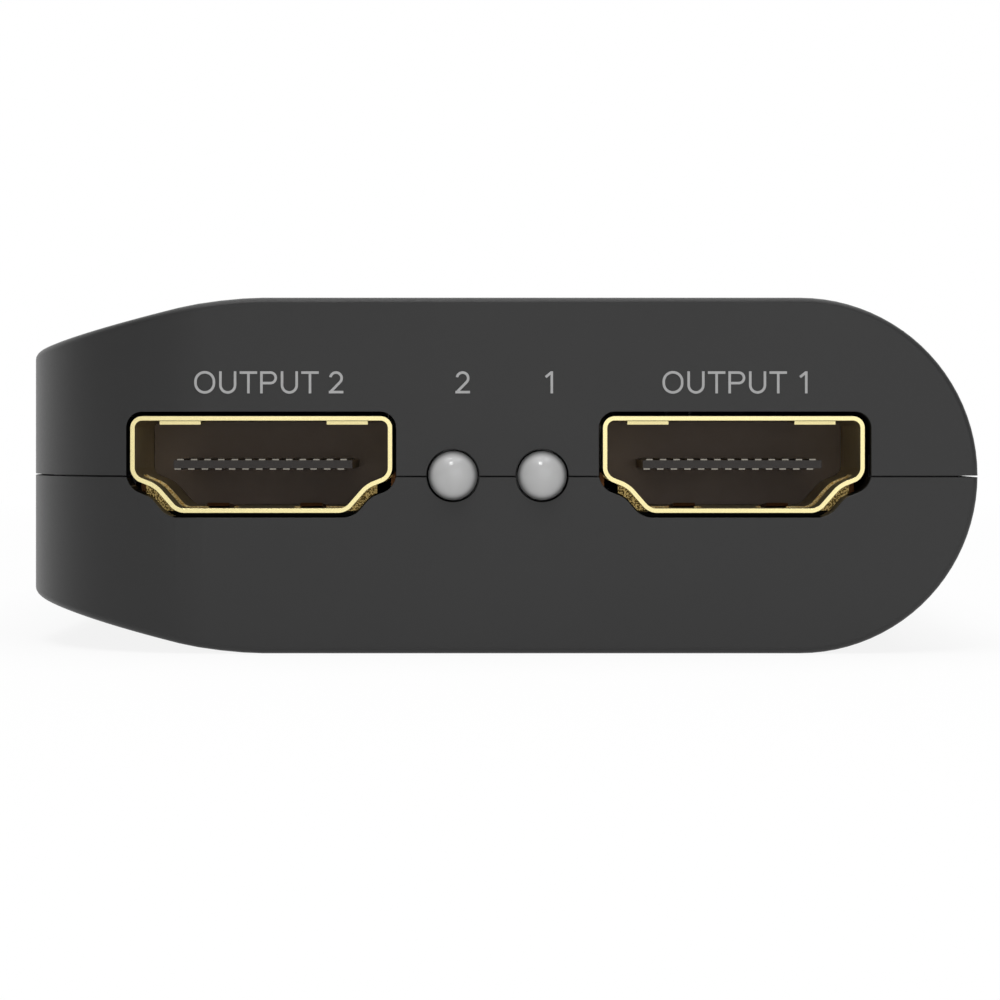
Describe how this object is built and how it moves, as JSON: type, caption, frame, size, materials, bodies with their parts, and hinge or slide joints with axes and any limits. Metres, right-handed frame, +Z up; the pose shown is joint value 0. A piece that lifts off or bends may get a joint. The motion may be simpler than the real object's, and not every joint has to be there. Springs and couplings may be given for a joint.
{
  "type": "hdmi splitter",
  "caption": "Compact video splitter box with a round side and a tapered side, output sockets and indicator lamps on the front, input socket and power jack on the back.",
  "frame": {"origin": "under the middle of the box, on the surface that it stands on", "axes": "+X to the right of the output face, +Y from the output face to the back, +Z up"},
  "size_m": [0.0556, 0.0636, 0.0203],
  "materials": {
    "case_plastic": "fine matt moulding",
    "gold_plate": "gold flash over stamped sheet",
    "insulator_plastic": "moulded",
    "contact_metal": "thin gold plating",
    "lamp_resin": "diffused epoxy",
    "tinned_metal": "tinned",
    "screw_steel": "black zinc",
    "board_laminate": "solder mask",
    "jack_plastic": "moulded",
    "package_resin": "moulded epoxy",
    "can_metal": "drawn can",
    "ferrite": "ground ferrite",
    "ceramic": "fired ceramic"
  },
  "bodies": {
    "case": {"upper_shell": "case_plastic", "lower_shell": "case_plastic", "case_screws": "screw_steel", "main_board": "board_laminate", "output_1_shell": "gold_plate", "output_1_tongue": "insulator_plastic", "output_1_contacts": "contact_metal", "output_2_shell": "gold_plate", "output_2_tongue": "insulator_plastic", "output_2_contacts": "contact_metal", "input_shell": "gold_plate", "input_tongue": "insulator_plastic", "input_contacts": "contact_metal", "lamp_1": "lamp_resin", "lamp_2": "lamp_resin", "lamp_leads": "tinned_metal", "jack_body": "jack_plastic", "jack_pin": "contact_metal", "jack_terminals": "tinned_metal", "splitter_chip": "package_resin", "splitter_chip_leads": "tinned_metal", "memory_chip": "package_resin", "memory_chip_leads": "tinned_metal", "crystal": "can_metal", "crystal_leads": "tinned_metal", "regulator": "package_resin", "regulator_tabs": "tinned_metal", "inductor": "ferrite", "capacitor_cans": "can_metal", "capacitor_bases": "package_resin", "ceramic_capacitors": "ceramic", "resistors": "package_resin", "surge_arrays": "package_resin"},
    "output_1_upper_springs": {"output_1_upper_springs": "gold_plate"},
    "output_1_lower_springs": {"output_1_lower_springs": "gold_plate"},
    "output_2_upper_springs": {"output_2_upper_springs": "gold_plate"},
    "output_2_lower_springs": {"output_2_lower_springs": "gold_plate"},
    "input_upper_springs": {"input_upper_springs": "gold_plate"},
    "input_lower_springs": {"input_lower_springs": "gold_plate"},
    "jack_spring": {"jack_spring": "contact_metal"}
  },
  "joints": [
    {"name": "output_1_upper_spring_bend", "type": "hinge", "parent": "case", "child": "output_1_upper_springs", "pos_m": [0.01392, -0.02368, 0.01341], "axis": [-1, 0, 0], "range_deg": [0, 3], "stiffness_Nm_per_rad": 0.1},
    {"name": "output_1_lower_spring_bend", "type": "hinge", "parent": "case", "child": "output_1_lower_springs", "pos_m": [0.01392, -0.02368, 0.00813], "axis": [1, 0, 0], "range_deg": [0, 4], "stiffness_Nm_per_rad": 0.1},
    {"name": "output_2_upper_spring_bend", "type": "hinge", "parent": "case", "child": "output_2_upper_springs", "pos_m": [-0.01312, -0.02368, 0.01341], "axis": [-1, 0, 0], "range_deg": [0, 3], "stiffness_Nm_per_rad": 0.1},
    {"name": "output_2_lower_spring_bend", "type": "hinge", "parent": "case", "child": "output_2_lower_springs", "pos_m": [-0.01312, -0.02368, 0.00813], "axis": [1, 0, 0], "range_deg": [0, 4], "stiffness_Nm_per_rad": 0.1},
    {"name": "input_upper_spring_bend", "type": "hinge", "parent": "case", "child": "input_upper_springs", "pos_m": [-0.004, 0.02418, 0.01341], "axis": [1, 0, 0], "range_deg": [0, 3], "stiffness_Nm_per_rad": 0.1},
    {"name": "input_lower_spring_bend", "type": "hinge", "parent": "case", "child": "input_lower_springs", "pos_m": [-0.004, 0.02418, 0.00813], "axis": [-1, 0, 0], "range_deg": [0, 4], "stiffness_Nm_per_rad": 0.1},
    {"name": "jack_spring_bend", "type": "hinge", "parent": "case", "child": "jack_spring", "pos_m": [0.0115, 0.0227, 0.0132], "axis": [1, 0, 0], "range_deg": [0, 4], "stiffness_Nm_per_rad": 0.05}
  ]
}
